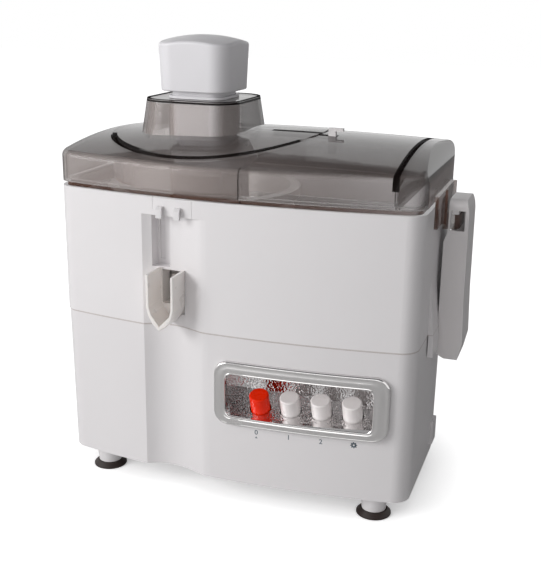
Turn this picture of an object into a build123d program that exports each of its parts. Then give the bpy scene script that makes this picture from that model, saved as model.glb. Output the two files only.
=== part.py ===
from build123d import *
import math
import os

os.makedirs("parts", exist_ok=True)

# ---------------------------------------------------------------- body outline
HALF_LENGTH = 131.0
FRONT = -91.0
BACK = 91.0
FACE_RADIUS = 680.0
FRONT_CORNER = 13.0
BACK_CORNER = 62.0
BASE_BACK_CORNER = 74.0
WALL = 2.8
GAP = 0.3

# ---------------------------------------------------------------- heights
BASE_BOTTOM = 17.0
BASE_HIGH = 110.7
DECK_TOP = BASE_BOTTOM + BASE_HIGH
DECK_WALL = 3.2
SEAM = DECK_TOP + GAP
HEAD_HIGH = 92.0
RIM = SEAM + HEAD_HIGH
CHANNEL_TOP = RIM - 12.5
LEDGE = RIM - 7.3
LID_BOTTOM = RIM + 3.2

# ---------------------------------------------------------------- bowl and spinning axis
BOWL_R = 68.0
BOWL_TO_END = 11.6
BOWL_WALL = 2.0
BOWL_FLOOR = SEAM + 18.0
BOWL_TOP = RIM - 15.0
AXIS_X = BOWL_R + BOWL_TO_END - HALF_LENGTH

# ---------------------------------------------------------------- shallow valley down the front
VALLEY_LEFT = AXIS_X - 9.6
VALLEY_RIGHT = AXIS_X + 39.4
VALLEY_DEPTH = 6.6
BASE_SETBACK_TOP = 1.0
BASE_SETBACK_BOTTOM = 2.8

# ---------------------------------------------------------------- basket
BASKET_BOTTOM = BOWL_FLOOR + 14.0
BASKET_BOTTOM_R = BOWL_R - 28.0
BASKET_TOP = RIM - 6.0
BASKET_TOP_R = BOWL_R - 3.0
BASKET_WALL = 1.0
FLANGE_R = BOWL_R + 4.5
FLANGE_LIP = BOWL_TOP + 1.5
PLATE_HOLE_R = BASKET_BOTTOM_R - 10.0

# ---------------------------------------------------------------- shaft and coupling
SHAFT_R = 4.0
COUPLING_R = 13.0
COUPLING_BOTTOM = DECK_TOP + 3.3
COUPLING_TOP = BASKET_BOTTOM - 9.0
COUPLING_FOOT = 5.0
SHAFT_TOP = COUPLING_TOP - 2.0
SOCKET_CLEARANCE = 0.5
COLLAR_R = 19.0
COLLAR_FIT = 0.8
COLLAR_TOP = DECK_TOP + 9.3
HUB_R = COLLAR_R - 2.0

# ---------------------------------------------------------------- control panel
BEZEL_X = (-6.0, 116.0)
BEZEL_Z = (63.4, 110.0)
BEZEL_CORNER = 10.0
BEZEL_PROUD = 2.4
BEZEL_LIP = 3.5
WINDOW_X = (2.2, 105.4)
WINDOW_Z = (69.9, 101.2)
WINDOW_CORNER = 5.0
TRAY_BACK = -63.0
TRAY_TILT = 20.0
TRAY_WALL = 1.6
BUTTON_R = 6.9
BUTTON_HIGH = 13.0
BUTTON_HOLE_CLEARANCE = 0.7
BUTTON_STEM_R = 3.2
BUTTON_PITCH = 21.8
BUTTON_TRAVEL = 3.5
BUTTON_UNDER = 1.0
STEM_DEEP = 16.0
BUTTON_MID = (57.05, -77.45)

# ---------------------------------------------------------------- feet
FOOT_FRONT = (105.0, -64.0)
FOOT_BACK = (88.0, 54.0)
CUP_R = 12.4
STEM_R = 8.6
CUP_HIGH = 4.0
PEG_R = 3.9
PEG_TOP = 12.0

# ---------------------------------------------------------------- inside the base
BOSSES = [(118.0, -34.0), (-118.0, -34.0), (112.0, 20.0), (-112.0, 20.0)]
BOSS_SCREW_R = 1.6
BOSS_R = 5.0
MOTOR_POSTS = [(AXIS_X - 30, 0), (AXIS_X + 30, 0)]
BOARD_POSTS = [(22, 30), (74, 30), (22, 62), (74, 62)]
PLATE_TOP = 20.4
END_PAD_Y = (6.0, 20.0)
MOTOR_SEAT = 38.0
SHAFT_BOTTOM = MOTOR_SEAT - 10.0
BOARD_SEAT = 30.0
GLAND_Z = 34.0
GLAND_R = 5.9
GLAND_PROUD = 2.2
CORD_R = 3.3
CORE_HALF = 38.0
CORE_Z = (MOTOR_SEAT + 25.0, DECK_TOP - 30.7)
CORE_BORE_R = 23.3
AIR_GAP = 0.7
COIL_Y = 29.2
COIL_HALF = (22.0, 4.0)
BEARING_R = 9.0
BEARING_FIT = 0.02
BEARING_LOW = (MOTOR_SEAT - 7.0, MOTOR_SEAT)
BEARING_HIGH = (DECK_TOP - 15.7, DECK_TOP - 8.7)
COMMUTATOR_R = 12.0
SEAL_R = 8.0
COMMUTATOR_Z = (MOTOR_SEAT + 6.0, MOTOR_SEAT + 19.0)
BRUSH_Z = (COMMUTATOR_Z[0] + 2.0, COMMUTATOR_Z[1] - 1.0)
FAN_Z = (BEARING_HIGH[0] - 10.5, BEARING_HIGH[0] - 2.0)
FAN_R = CORE_HALF - 6.0

# ---------------------------------------------------------------- lid, tower and pusher
LID_SIDE_Z = LID_BOTTOM + 18.8
LID_TOP_Z = LID_SIDE_Z + 15.0
LID_LEFT_DROP = 6.0
LID_RIGHT_DROP = 3.0
LID_EDGE_R = 4.5
LID_RIGHT_R = 19.0
ARC_MID = 0.2929
LID_WALL = 2.2
SKIRT_OUT = 3.1
SKIRT_IN = 5.3
TOWER_RIM_Z = LID_TOP_Z + 21.7
TOWER_TOP_WALL = 0.6
TOWER_RIM_HALF = 36.6
TOWER_FOOT_HALF = TOWER_RIM_HALF + 4.4
CHUTE_HALF = 20.4
CHUTE_WALL = 2.0
CHUTE_BOTTOM = BASKET_BOTTOM + 8.0
STEM_FIT = 0.7
STEM_HALF = CHUTE_HALF - STEM_FIT
STEM_WALL = 2.2
CAP_HIGH = 39.4
CAP_BOTTOM = TOWER_RIM_Z + 4.9
CAP_TOP = CAP_BOTTOM + CAP_HIGH
CAP_EDGE = CAP_TOP - 4.5
CAP_HALF_LOW = STEM_HALF + 7.3
CAP_HALF_HIGH = CAP_HALF_LOW + 1.6
CAP_ROOF = 11.0
CAP_SPIGOT = CAP_HALF_LOW - 2.6
SLOT_X = (AXIS_X + 58.1, AXIS_X + 104.6)
SLOT_HALF = 2.3
SLOT_Y = -8.5
TAB_HALF = 1.7
TAB_X = (SLOT_X[1] - 5.8, SLOT_X[1] - 0.6)
CUP_RIB_R = BOWL_R + 12.0
CUP_RIB_X = AXIS_X + 13.4
PULP_X = (AXIS_X + 61.4, HALF_LENGTH - 19.0)
PULP_Y = -74.0
RIB = 1.8

# ---------------------------------------------------------------- spout
SPOUT_X = (AXIS_X + 0.6, AXIS_X + 21.1)
SPOUT_FRONT = FRONT - 14.0
SPOUT_TOP = CHANNEL_TOP - 38.0
SPOUT_TIP = SEAM + 2.4
SPOUT_WALL = 1.8
SPOUT_ENTRY_X = (SPOUT_X[0] + 1.0, SPOUT_X[1] - 0.9)
SPOUT_ENTRY_Z = (SPOUT_TIP + 7.0, SPOUT_TOP - 1.7)
SPOUT_FIT = 0.3
NOZZLE_X = (AXIS_X + 5.0, AXIS_X + 15.8)
NOZZLE_END = -BOWL_R - 3.8
NOZZLE_WALL = 1.6
GROOVE_X = (AXIS_X - 3.6, AXIS_X + 9.2)
GROOVE_BACK = FRONT + 15.8
HOOK_X = (AXIS_X - 0.6, AXIS_X + 28.6)
HOOK_FIT = 0.2

# ---------------------------------------------------------------- end clamps
CLAMP_HALF = 16.0
CHEEK = 2.2
PIN_X = HALF_LENGTH + 11.5
PIN_Z = SEAM - 13.5
PIN_R = 2.5
PIN_FIT = 0.06
KNUCKLE_R = 6.2
BRACKET_HALF = 38.0
EAR_X = (HALF_LENGTH + 0.5, HALF_LENGTH + 2.7)
EAR_Y = (-46.0, 19.6)
EAR_BOTTOM = LID_BOTTOM - 18.2
LUG_TOP = LID_BOTTOM - 14.2
LUG_HIGH = 11.6
LUG_OUT = 12.4
LUG_HALF = 9.0
LEVER_WALL = 2.4
LEVER_OUT = HALF_LENGTH + 21.5
LEVER_BOTTOM = PIN_Z - 10.3
LEVER_TOP = LUG_TOP + 10.8


# The finished solids stand with the middle of their footprint box on the origin.
MIDDLE_Y = (SPOUT_FRONT + BACK + GLAND_PROUD) / 2


def save(shape, node):
    export_step(Pos(0, -MIDDLE_Y, 0) * shape, "parts/" + node + ".step")


def face_y(x, front=FRONT):
    return front + FACE_RADIUS - math.sqrt(FACE_RADIUS ** 2 - x * x)


def front_edges(half, front, valley):
    left = (-half, face_y(-half, front))
    right = (half, face_y(half, front))
    if not valley:
        return [ThreePointArc(left, (0, front), right)]
    a = VALLEY_LEFT - 0.5 * (front - FRONT)
    b = VALLEY_RIGHT + 0.5 * (front - FRONT)
    span = b - a
    shares = [(0.16, 0.66), (0.34, 1.0), (0.52, 0.97), (0.70, 0.6), (0.86, 0.17)]
    points = [(a, face_y(a, front))]
    for along, deep in shares:
        x = a + span * along
        points.append((x, face_y(x, front) + VALLEY_DEPTH * deep))
    points.append((b, face_y(b, front)))
    arc_left = ThreePointArc(left, ((a - half) / 2, face_y((a - half) / 2, front)), points[0])
    arc_right = ThreePointArc(points[-1], ((b + half) / 2, face_y((b + half) / 2, front)), right)
    valley_curve = Spline(*points, tangents=[(1, 0.55), (1, -0.06)])
    return [arc_left, valley_curve, arc_right]


def outline(inset=0.0, setback=0.0, valley=False, back_corner=BACK_CORNER, ends=0.0):
    half = HALF_LENGTH - inset - ends
    front = FRONT + inset + setback
    back = BACK - inset
    sag = face_y(half) - FRONT
    edges = front_edges(half, front, valley)
    b = (half, back - sag)
    c = (-half, back - sag)
    edges.append(Line((half, face_y(half, front)), b))
    edges.append(ThreePointArc(b, (0, back), c))
    edges.append(Line(c, (-half, face_y(half, front))))
    face = make_face(Curve() + edges)
    far = [v for v in face.vertices() if abs(abs(v.X) - half) < 0.01]
    front_pair = [v for v in far if v.Y < 0]
    face = fillet(front_pair, max(FRONT_CORNER - inset, 3.0))
    far = [v for v in face.vertices() if abs(abs(v.X) - half) < 0.01 and v.Y > 20]
    return fillet(far, back_corner - inset)


def slab(bottom, top, **kw):
    return extrude(Pos(0, 0, bottom) * outline(**kw), top - bottom)


def block(x, y, z):
    size = (x[1] - x[0], y[1] - y[0], z[1] - z[0])
    return Pos((x[0] + x[1]) / 2, (y[0] + y[1]) / 2, (z[0] + z[1]) / 2) * Box(*size)


def ring(x, y, z, outer, inner):
    tall = z[1] - z[0]
    body = Cylinder(outer, tall) - Cylinder(inner, tall + 2)
    return Pos(x, y, (z[0] + z[1]) / 2) * body


def rod(x, y, z, radius):
    return Pos(x, y, (z[0] + z[1]) / 2) * Cylinder(radius, z[1] - z[0])


def soft(shape, edges, radius):
    try:
        return fillet(edges, radius)
    except Exception:
        return shape


def rounded(half, corner, z, x=AXIS_X, y=0.0):
    return Pos(x, y, z) * RectangleRounded(2 * half, 2 * half, corner)


def tube_square(half, corner, z, x=AXIS_X):
    return extrude(rounded(half, corner, z[0], x), z[1] - z[0])


def solid_of(shape):
    return max(shape.solids(), key=lambda s: s.volume)


# The panel plane lies on the sloping tray floor, its normal along the button stems.
SLOPE = math.tan(math.radians(TRAY_TILT))
FLOOR_Z = WINDOW_Z[0] + SLOPE * (BUTTON_MID[1] - FRONT)
PANEL = Plane(
    origin=(BUTTON_MID[0], BUTTON_MID[1], FLOOR_Z),
    x_dir=(1, 0.0844, 0.0844 * SLOPE),
    z_dir=(0, -math.sin(math.radians(TRAY_TILT)), math.cos(math.radians(TRAY_TILT))),
)
BUTTON_AT = [(i - 1.5) * BUTTON_PITCH for i in range(4)]


def on_panel(x, low, high, radius):
    return PANEL.location * Pos(x, 0, (low + high) / 2) * Cylinder(radius, high - low)


def tray_space(grow):
    y0 = FRONT - 8
    z0 = WINDOW_Z[0] - grow + SLOPE * (y0 - FRONT)
    z1 = WINDOW_Z[0] - grow + SLOPE * (TRAY_BACK + grow - FRONT)
    top = WINDOW_Z[1] + grow
    points = [(y0, z0), (TRAY_BACK + grow, z1), (TRAY_BACK + grow, top - 3), (FRONT + 4, top), (y0, top)]
    side = Plane.YZ.offset(WINDOW_X[0] - grow) * make_face(Polyline(*points, close=True))
    body = extrude(side, WINDOW_X[1] - WINDOW_X[0] + 2 * grow)
    width = WINDOW_X[1] - WINDOW_X[0] + 2 * grow
    high = WINDOW_Z[1] - WINDOW_Z[0] + 2 * grow
    middle = ((WINDOW_X[0] + WINDOW_X[1]) / 2, (WINDOW_Z[0] + WINDOW_Z[1]) / 2)
    sketch = RectangleRounded(width, high, WINDOW_CORNER + grow)
    frame = Plane.XZ.offset(-(TRAY_BACK + 10)) * Pos(*middle) * sketch
    return body & extrude(frame, 60)


def face_band(proud, deep):
    outer = Circle(FACE_RADIUS + proud)
    inner = Circle(FACE_RADIUS - deep)
    centre = FRONT + BASE_SETBACK_TOP + FACE_RADIUS
    band = Pos(0, centre, BEZEL_Z[0] - 5) * (outer - inner)
    return extrude(band, BEZEL_Z[1] - BEZEL_Z[0] + 10)


def bezel_prism(grow=0.0):
    width = BEZEL_X[1] - BEZEL_X[0] + 2 * grow
    high = BEZEL_Z[1] - BEZEL_Z[0] + 2 * grow
    middle = ((BEZEL_X[0] + BEZEL_X[1]) / 2, (BEZEL_Z[0] + BEZEL_Z[1]) / 2)
    plate = Plane.XZ.offset(60) * Pos(*middle) * RectangleRounded(width, high, BEZEL_CORNER + grow)
    return extrude(plate, 50)


# ================================================================ base
def base_shell():
    low = outline(setback=BASE_SETBACK_BOTTOM, valley=True, back_corner=BASE_BACK_CORNER, ends=0.8)
    high = outline(setback=BASE_SETBACK_TOP, valley=True, back_corner=BASE_BACK_CORNER, ends=0.2)
    body = loft([Pos(0, 0, BASE_BOTTOM) * low, Pos(0, 0, DECK_TOP) * high], ruled=True)
    inside = slab(BASE_BOTTOM - 1, DECK_TOP - DECK_WALL, inset=WALL, setback=BASE_SETBACK_BOTTOM, valley=True,
                  back_corner=BASE_BACK_CORNER, ends=0.8)
    body -= inside
    body += ring(AXIS_X, 0, (DECK_TOP - 1, COLLAR_TOP), COLLAR_R, COLLAR_R - 3)
    body -= rod(AXIS_X, 0, (DECK_TOP - 5, DECK_TOP + 1), SEAL_R)
    body -= bezel_prism(-BEZEL_LIP) & face_band(10, 12)
    body -= tray_space(TRAY_WALL + GAP)
    for x, y in BOSSES:
        body += ring(x, y, (PLATE_TOP + GAP, DECK_TOP - DECK_WALL + 0.2), BOSS_R, BOSS_SCREW_R)
        body += rod(x, y, (PLATE_TOP + 39.6, DECK_TOP - DECK_WALL + 0.2), BOSS_R)
    body += block((HALF_LENGTH - 2.0, HALF_LENGTH + 1.6), END_PAD_Y, (BASE_BOTTOM + 8.0, BASE_BOTTOM + 26.0))
    body -= Pos(0, BACK - 8, GLAND_Z) * Rot(90, 0, 0) * Cylinder(GLAND_R + 0.1, 40)
    return solid_of(body)


def base_plate():
    plate = slab(BASE_BOTTOM + 0.4, PLATE_TOP, inset=WALL + 0.3, setback=BASE_SETBACK_BOTTOM, valley=True,
                 back_corner=BASE_BACK_CORNER, ends=0.8)
    for x, y in feet():
        stem_high = BASE_BOTTOM + 1 - CUP_HIGH
        stem = Pos(x, y, CUP_HIGH + stem_high / 2) * Cone(STEM_R, STEM_R + 1.4, stem_high)
        plate += stem
    for x, y in MOTOR_POSTS:
        plate += ring(x, y, (PLATE_TOP - 0.4, MOTOR_SEAT), 5.0, 1.5)
    for x, y in BOARD_POSTS:
        plate += rod(x, y, (PLATE_TOP - 0.4, BOARD_SEAT), 3.0)
    for x, y in BOSSES:
        plate -= rod(x, y, (BASE_BOTTOM - 1, 22), 2.2)
        plate -= rod(x, y, (BASE_BOTTOM - 1, BASE_BOTTOM + 2.2), 4.0)
    for i in range(-4, 5):
        plate -= block((AXIS_X + 7 * i - 1.5, AXIS_X + 7 * i + 1.5), (22, 46), (10, 25))
    for x, y in feet():
        plate -= rod(x, y, (0, PEG_TOP + 1.0), PEG_R + 0.3)
    return solid_of(plate)


def feet():
    fx, fy = FOOT_FRONT
    bx, by = FOOT_BACK
    return [(fx, fy), (-fx, fy), (bx, by), (-bx, by)]


def suction_cup(x, y):
    points = [(0, 3.0), (6.0, 2.6), (CUP_R - 1.2, 0), (CUP_R, 0), (CUP_R, 0.9),
              (STEM_R + 1.0, CUP_HIGH - GAP),
              (STEM_R - 0.4, CUP_HIGH), (PEG_R, CUP_HIGH), (PEG_R, PEG_TOP), (0, PEG_TOP)]
    profile = make_face(Polyline(*points, close=True))
    return Pos(x, y, 0) * revolve(Plane.XZ * profile, Axis.Z)


def screw(x, y, seat, length, head_r, shank_r):
    head = rod(x, y, (seat - 1.8, seat), head_r)
    shank = rod(x, y, (seat - 0.5, seat + length), shank_r)
    return head + shank - block((x - head_r, x + head_r), (y - 0.4, y + 0.4), (seat - 2, seat - 1.1))


def control_bezel():
    plate = bezel_prism() & face_band(BEZEL_PROUD, 0.0)
    plate = soft(plate, plate.edges().filter_by(lambda e: e.center().Y < -84).sort_by(Axis.Y)[:1], 0.5)
    lip = bezel_prism(-BEZEL_LIP - GAP) & face_band(0.5, 2.6)
    tray = tray_space(TRAY_WALL) & (block((-20, 120), (FRONT - 1, -50), (50, 115)))
    tray &= inside_face()
    body = plate + lip + tray
    body -= tray_space(0.0)
    for x in BUTTON_AT:
        body -= on_panel(x, -6, 6, BUTTON_R + BUTTON_HOLE_CLEARANCE)
    return solid_of(body)


def inside_face():
    centre = FRONT + BASE_SETBACK_TOP + FACE_RADIUS
    return extrude(Pos(0, centre, 40) * Circle(FACE_RADIUS), 80)


def button(x):
    head = on_panel(x, -BUTTON_UNDER, BUTTON_HIGH, BUTTON_R)
    edge = head.edges().filter_by(GeomType.CIRCLE).sort_by(Axis.Z)[-1]
    head = soft(head, [edge], 1.1)
    return head + on_panel(x, -STEM_DEEP, -0.5, BUTTON_STEM_R)


def switch_block():
    top = -TRAY_WALL - GAP
    body = PANEL.location * Pos(0, 0, top - 12.0) * Box(90, 12.0, 24.0)
    for x in BUTTON_AT:
        body -= on_panel(x, -STEM_DEEP - BUTTON_TRAVEL - 0.5, 0, BUTTON_STEM_R + GAP)
        body -= on_panel(x, -BUTTON_UNDER - BUTTON_TRAVEL - 0.8, 0, BUTTON_R + BUTTON_HOLE_CLEARANCE)
    return body + PANEL.location * Pos(0, 0, -28.5) * Box(60, 3, 6)


def drip_seal():
    inner = SHAFT_R + GAP
    points = [(inner, DECK_TOP - DECK_WALL), (SEAL_R, DECK_TOP - DECK_WALL), (SEAL_R, DECK_TOP),
              (SEAL_R + 5, DECK_TOP),
              (SEAL_R + 3, DECK_TOP + 1.6), (inner, DECK_TOP + 1.6)]
    profile = make_face(Polyline(*points, close=True))
    return Pos(AXIS_X, 0, 0) * revolve(Plane.XZ * profile, Axis.Z)


def gland_ring(y, radius):
    return Pos(0, (y[0] + y[1]) / 2, GLAND_Z) * Rot(90, 0, 0) * Cylinder(radius, y[1] - y[0])


def cord_gland():
    body = gland_ring((BACK - WALL - 6, BACK + 0.5), GLAND_R)
    body += gland_ring((BACK, BACK + GLAND_PROUD), 8.5)
    body += gland_ring((BACK - WALL - 2.6, BACK - WALL - 0.1), 7.5)
    return body - gland_ring((BACK - 20, BACK + 10), CORD_R)


# ================================================================ motor
def stator_core():
    body = tube_square(CORE_HALF, 9.0, CORE_Z)
    body -= rod(AXIS_X, 0, (CORE_Z[0] - 13, CORE_Z[1] + 13), CORE_BORE_R)
    wide, deep = COIL_HALF[0] + GAP, COIL_HALF[1] + GAP
    for side in (-1, 1):
        y = side * COIL_Y
        body -= block((AXIS_X - wide, AXIS_X + wide), (y - deep, y + deep), (CORE_Z[0] - 13, CORE_Z[1] + 13))
    return body


def field_coil(side):
    y = side * COIL_Y
    wide, deep = COIL_HALF
    body = block((AXIS_X - wide, AXIS_X + wide), (y - deep, y + deep), (CORE_Z[0] - 5, CORE_Z[1] + 3))
    return soft(body, body.edges().filter_by(Axis.Z), 2.5)


def motor_bracket(low):
    z = (MOTOR_SEAT, MOTOR_SEAT + 3) if low else (BEARING_HIGH[0], BEARING_HIGH[0] + 3)
    leg = (MOTOR_SEAT + 3, CORE_Z[0]) if low else (CORE_Z[1], BEARING_HIGH[0])
    seat = (BEARING_LOW[0] - 1, MOTOR_SEAT) if low else (BEARING_HIGH[0], BEARING_HIGH[1] + 1)
    body = block((AXIS_X - CORE_HALF, AXIS_X + CORE_HALF), (-10, 10), z)
    for side in (-1, 1):
        a = sorted([AXIS_X + side * (CORE_HALF - 3.5), AXIS_X + side * CORE_HALF])
        body += block(a, (-8, 8), leg)
    body += rod(AXIS_X, 0, seat, BEARING_R + 4.0)
    if low:
        for side in (-1, 1):
            a = sorted([AXIS_X + side * 15, AXIS_X + side * 33])
            body += block(a, (-4, 4), (MOTOR_SEAT + 3, BRUSH_Z[0]))
        for x, y in MOTOR_POSTS:
            body -= rod(x, y, (MOTOR_SEAT - 8, MOTOR_SEAT + 12), 1.7)
        body -= rod(AXIS_X, 0, (BEARING_LOW[0], CORE_Z[0] - 3), BEARING_R)
    else:
        body -= rod(AXIS_X, 0, (BEARING_HIGH[0] - 12, BEARING_HIGH[1]), BEARING_R)
    return body - rod(AXIS_X, 0, (PLATE_TOP, DECK_TOP + 2.3), SHAFT_R + 1.0)


def bearing(z):
    body = ring(AXIS_X, 0, z, BEARING_R, SHAFT_R + BEARING_FIT)
    groove = ring(AXIS_X, 0, (z[1] - 0.8, z[1] + 1), 7.6, 5.6)
    return body - groove


def brush_holder(side):
    a = sorted([AXIS_X + side * (COMMUTATOR_R + 2.0), AXIS_X + side * 33.5])
    b = sorted([AXIS_X + side * (COMMUTATOR_R + GAP), AXIS_X + side * (COMMUTATOR_R + 3.0)])
    holder = block(a, (-4, 4), BRUSH_Z)
    return holder + block(b, (-2.5, 2.5), (BRUSH_Z[0] + 2.5, BRUSH_Z[1] - 2.5))


def control_board():
    body = block((18, 78), (26, 66), (BOARD_SEAT, BOARD_SEAT + 1.6))
    body += block((26, 44), (36, 52), (BOARD_SEAT + 1, 44.0))
    body += rod(60, 40, (BOARD_SEAT + 1, 48.0), 7.0)
    body += block((52, 72), (52, 60), (BOARD_SEAT + 1, 40.0))
    return body


def breaker():
    body = block((8, 24), (-66, -50), (PLATE_TOP, 48.0))
    return body + rod(16, -58, (47.0, 54.0), 3.5)


# ================================================================ rotor
def armature():
    z = (CORE_Z[0] + 1, CORE_Z[1] - 1)
    body = ring(AXIS_X, 0, z, CORE_BORE_R - AIR_GAP, SHAFT_R)
    slot = Pos(CORE_BORE_R - 1.1, 0, (z[0] + z[1]) / 2) * Box(3.0, 2.0, z[1] - z[0] + 8)
    cuts = [Pos(AXIS_X, 0, 0) * Rot(0, 0, 30 * i) * slot for i in range(12)]
    return body - cuts


def commutator():
    body = ring(AXIS_X, 0, COMMUTATOR_Z, COMMUTATOR_R, SHAFT_R)
    cut = Pos(COMMUTATOR_R, 0, COMMUTATOR_Z[0] + 6) * Box(1.6, 0.8, 20)
    return body - [Pos(AXIS_X, 0, 0) * Rot(0, 0, 30 * i) * cut for i in range(12)]


def armature_winding(z):
    body = ring(AXIS_X, 0, z, CORE_BORE_R - 3.8, SHAFT_R)
    return soft(body, body.edges().filter_by(GeomType.CIRCLE).sort_by(SortBy.LENGTH)[-2:], 1.4)


def fan():
    body = ring(AXIS_X, 0, FAN_Z, 8.0, SHAFT_R)
    body += ring(AXIS_X, 0, (FAN_Z[0], FAN_Z[0] + 1.5), FAN_R, SHAFT_R)
    blade = Pos(FAN_R - 12.5, 0, FAN_Z[0] + 4.5) * Rot(0, 0, 24) * Box(FAN_R - 10, 1.4, 7.0)
    for i in range(9):
        body += Pos(AXIS_X, 0, 0) * Rot(0, 0, 40 * i) * blade
    return body


def drive_coupling():
    foot = COUPLING_BOTTOM + COUPLING_FOOT
    low = rod(AXIS_X, 0, (COUPLING_BOTTOM, foot), COUPLING_R - 1.0)
    hexagon = extrude(Pos(AXIS_X, 0, foot - 1.0) * RegularPolygon(COUPLING_R, 6), COUPLING_TOP - foot + 1.0)
    body = low + hexagon
    top = body.edges().group_by(Axis.Z)[-1]
    body = soft(body, top, 1.2)
    return body - rod(AXIS_X, 0, (COUPLING_BOTTOM - 11, SHAFT_TOP), SHAFT_R)


# ================================================================ head
def spout_opening(grow):
    x, z = SPOUT_ENTRY_X, SPOUT_ENTRY_Z
    return block((x[0] - grow, x[1] + grow), (FRONT - 5, NOZZLE_END + 5.8), (z[0] - grow, z[1] + grow))


def housing_shell():
    body = slab(SEAM, CHANNEL_TOP, valley=True) + slab(CHANNEL_TOP, RIM)
    body -= slab(LEDGE, RIM + 1, inset=WALL)
    body -= slab(SEAM + 3.2, LEDGE + 1, inset=SKIRT_IN + 0.4, valley=True)
    lining = (GROOVE_X[0] - 2.4, GROOVE_X[1] + 2.4)
    body += block(lining, (FRONT + 3, GROOVE_BACK + 2.0), (SPOUT_TOP - 3, CHANNEL_TOP + 2.4))
    body &= slab(SEAM, CHANNEL_TOP, valley=True) + slab(CHANNEL_TOP, RIM)
    body -= block(GROOVE_X, (FRONT - 9, GROOVE_BACK), (SPOUT_TOP + 0.6, CHANNEL_TOP))
    slit = (GROOVE_X[0] + 1.8, GROOVE_X[0] + 5.4)
    body -= block(slit, (FRONT - 9, GROOVE_BACK + 1.2), (SPOUT_TOP + 4, CHANNEL_TOP - 3))
    body -= spout_opening(SPOUT_FIT)
    body -= hook_plate_space(0.15)
    body -= rod(AXIS_X, 0, (SEAM - 1, SEAM + 6), COLLAR_R + COLLAR_FIT)
    body += ring(AXIS_X, 0, (SEAM, BOWL_FLOOR), COLLAR_R + 3.4, COLLAR_R + COLLAR_FIT)
    for i in range(6):
        web = Pos(COLLAR_R + 12, 0, (SEAM + BOWL_FLOOR) / 2) * Box(20, 2, BOWL_FLOOR - SEAM)
        body += Pos(AXIS_X, 0, 0) * Rot(0, 0, 60 * i + 30) * web
    for side in (-1, 1):
        body += end_bracket(side)
    return solid_of(body)


def end_bracket(side):
    half = CLAMP_HALF - CHEEK - 0.5
    knuckle = block((HALF_LENGTH - 1, PIN_X), (-half, half), (PIN_Z - KNUCKLE_R, SEAM + 10))
    knuckle += Pos(PIN_X, 0, PIN_Z) * Rot(90, 0, 0) * Cylinder(KNUCKLE_R, 2 * half)
    ramp = Polyline((PIN_X - 9.6, PIN_Z + 41.5), (PIN_X + 12, PIN_Z + 41.5),
                    (PIN_X + 12, PIN_Z + 4), close=True)
    knuckle -= extrude(Plane.XZ.offset(-30) * make_face(ramp), 60)
    knuckle -= Pos(PIN_X, 0, PIN_Z) * Rot(90, 0, 0) * Cylinder(PIN_R, 60)
    flare = Polyline((HALF_LENGTH - 1, SEAM + 38), (HALF_LENGTH, SEAM + 38), (HALF_LENGTH + 4.2, SEAM - 6),
                     (HALF_LENGTH + 4.2, SEAM - 16), (HALF_LENGTH - 1, SEAM - 16), close=True)
    cheeks = extrude(Plane.XZ.offset(-BRACKET_HALF) * make_face(flare), 2 * BRACKET_HALF)
    slot = CLAMP_HALF + 0.7
    cheeks -= block((HALF_LENGTH - 30, HALF_LENGTH + 30), (-slot, slot), (SEAM - 30, SEAM + 45))
    both = knuckle + cheeks
    both -= block((HALF_LENGTH - 3, HALF_LENGTH + 0.5), (-BACK, BACK), (SEAM - 30, SEAM))
    if side < 0:
        both = mirror(both, Plane.YZ)
    return both


def hook_plate_space(grow):
    a, b = HOOK_X[0] - HOOK_FIT, HOOK_X[1] + HOOK_FIT
    left = [(a, RIM + 0.5), (a, RIM - 8.6), (a + 6.8, RIM - 8.6),
            (a + 6.8, RIM - 10.4), (b - 2.2, RIM - 10.4),
            (b - 2.2, RIM - 12.7), (b, RIM - 12.7), (b, RIM + 0.5)]
    plate = extrude(Plane.XZ.offset(60) * make_face(Polyline(*left, close=True)), 50)
    outer = Circle(FACE_RADIUS)
    inner = Circle(FACE_RADIUS - 1.5 - grow)
    band = extrude(Pos(0, FRONT + FACE_RADIUS, RIM - 20) * (outer - inner), 20.4)
    body = plate & band
    if grow:
        body &= slab(RIM - 20, RIM + 1, inset=-1.0)
    return body


def hook_plate():
    body = hook_plate_space(0.0) & block(HOOK_X, (FRONT - 9, FRONT + 31), (RIM - 12.5, RIM - HOOK_FIT))
    for x in (HOOK_X[0] + 6.1, HOOK_X[0] + 19.6):
        y = face_y(x)
        points = [(y + 0.6, RIM - 5.8), (y - 2.2, RIM - 5.8), (y - 3.8, RIM - 8.0), (y - 3.8, RIM - 13.6),
                  (y - 1.2, RIM - 13.6), (y - 1.2, RIM - 8.2), (y + 0.6, RIM - 8.2)]
        lug = extrude(Plane.YZ.offset(x - 2.1) * make_face(Polyline(*points, close=True)), 4.2)
        body += lug
    return solid_of(body)


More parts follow.
